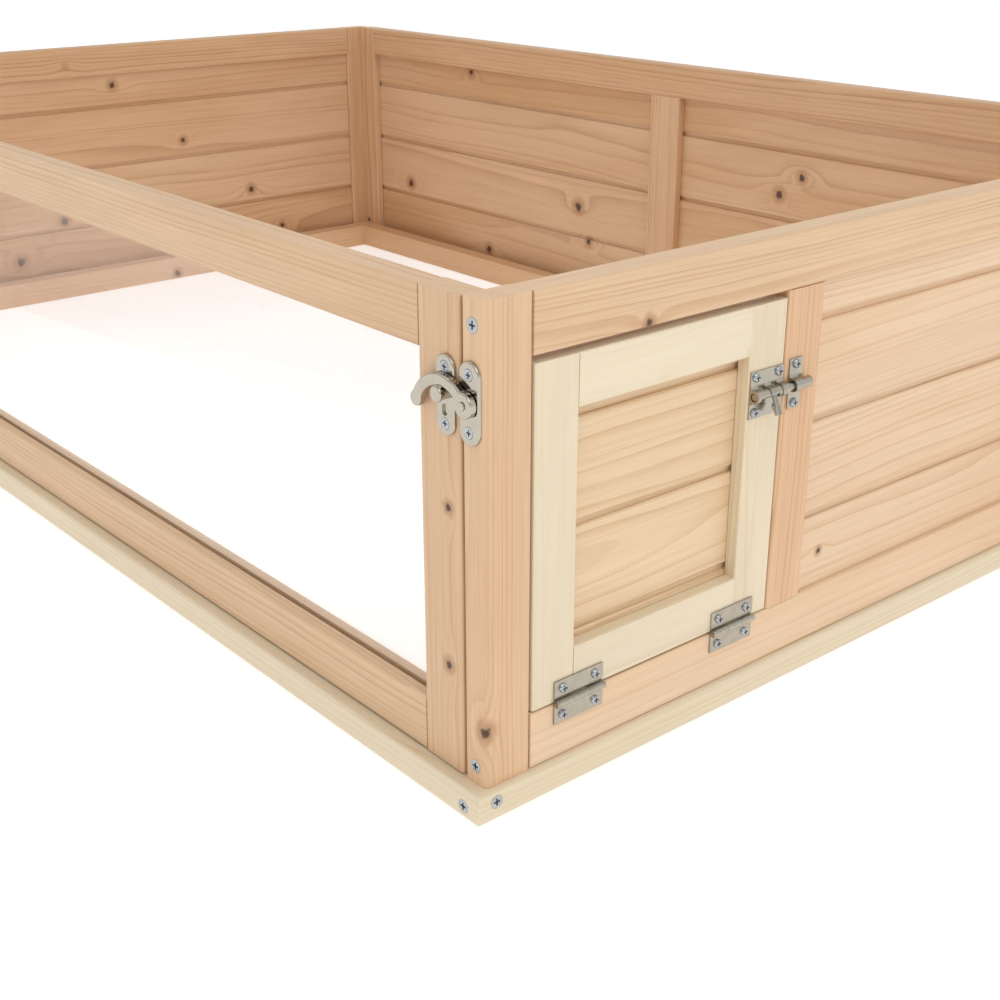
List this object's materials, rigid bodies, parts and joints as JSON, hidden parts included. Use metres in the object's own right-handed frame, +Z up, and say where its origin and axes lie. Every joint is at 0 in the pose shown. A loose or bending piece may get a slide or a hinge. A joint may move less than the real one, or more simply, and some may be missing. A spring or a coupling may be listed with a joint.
{
  "type": "cold frame",
  "caption": "Low timber cold frame: open-topped boarded box on a rebated base, with a glazed front panel held by a swing latch and a small bolted drop-down door.",
  "frame": {"origin": "middle of the base's footprint, on the ground", "axes": "+X from the middle towards the wall with the small door, +Y from the glazed front towards the back wall, +Z up"},
  "size_m": [1.2205, 0.8, 0.29],
  "materials": {
    "wall_timber": "planed, bare",
    "base_timber": "planed, bare",
    "door_timber": "planed, bare",
    "glazing": "clear",
    "hinge_steel": "satin plated",
    "latch_nickel": "bright nickel",
    "screw_zinc": "zinc plated"
  },
  "bodies": {
    "box": {"back_board_1": "wall_timber", "back_board_2": "wall_timber", "back_board_3": "wall_timber", "back_board_4": "wall_timber", "back_left_batten": "wall_timber", "back_middle_batten": "wall_timber", "back_right_batten": "wall_timber", "back_top_rail": "wall_timber", "base_back": "base_timber", "base_front": "base_timber", "base_left": "base_timber", "base_right": "base_timber", "bolt_keeper": "hinge_steel", "door_hinge_1_fixed_leaf": "hinge_steel", "door_hinge_2_fixed_leaf": "hinge_steel", "door_hinge_pins": "hinge_steel", "fixed_hardware_screws": "screw_zinc", "frame_screws": "screw_zinc", "latch_plate": "latch_nickel", "latch_rivet": "latch_nickel", "left_board_1": "wall_timber", "left_board_2": "wall_timber", "left_board_3": "wall_timber", "left_board_4": "wall_timber", "left_front_post": "wall_timber", "left_rear_post": "wall_timber", "left_top_rail": "wall_timber", "panel_hinge_1_fixed_leaf": "hinge_steel", "panel_hinge_2_fixed_leaf": "hinge_steel", "panel_hinge_pins": "hinge_steel", "right_board_1": "wall_timber", "right_board_2": "wall_timber", "right_board_3": "wall_timber", "right_board_4": "wall_timber", "right_bottom_rail": "wall_timber", "right_front_post": "wall_timber", "right_middle_stile": "wall_timber", "right_rear_post": "wall_timber", "right_top_rail": "wall_timber"},
    "front_panel": {"panel_bottom_rail": "wall_timber", "panel_hinge_1_moving_leaf": "hinge_steel", "panel_hinge_2_moving_leaf": "hinge_steel", "panel_hinge_stile": "wall_timber", "panel_latch_stile": "wall_timber", "panel_pane": "glazing", "panel_screws": "screw_zinc", "panel_top_rail": "wall_timber", "latch_claw_plate": "latch_nickel"},
    "latch": {"latch_arm": "latch_nickel"},
    "door": {"door_boards": "door_timber", "door_bottom_rail": "door_timber", "door_front_stile": "door_timber", "door_hinge_1_moving_leaf": "hinge_steel", "door_hinge_2_moving_leaf": "hinge_steel", "door_rear_stile": "door_timber", "door_screws": "screw_zinc", "door_top_rail": "door_timber", "bolt_plate": "hinge_steel"},
    "bolt": {"bolt_rod": "hinge_steel"}
  },
  "joints": [
    {"name": "panel_hinge", "type": "hinge", "parent": "box", "child": "front_panel", "pos_m": [-0.58375, -0.3932, 0.153], "axis": [0, 0, -1], "range_deg": [0, 110]},
    {"name": "latch_pivot", "type": "hinge", "parent": "box", "child": "latch", "pos_m": [0.5925, -0.3945, 0.2365], "axis": [0, 1, 0], "range_deg": [0, 100]},
    {"name": "door_hinge", "type": "hinge", "parent": "box", "child": "door", "pos_m": [0.6047, -0.2601, 0.05275], "axis": [0, 1, 0], "range_deg": [0, 105]},
    {"name": "bolt_slide", "type": "slide", "parent": "door", "child": "bolt", "axis": [0, -1, 0], "range_m": [0, 0.013]}
  ]
}
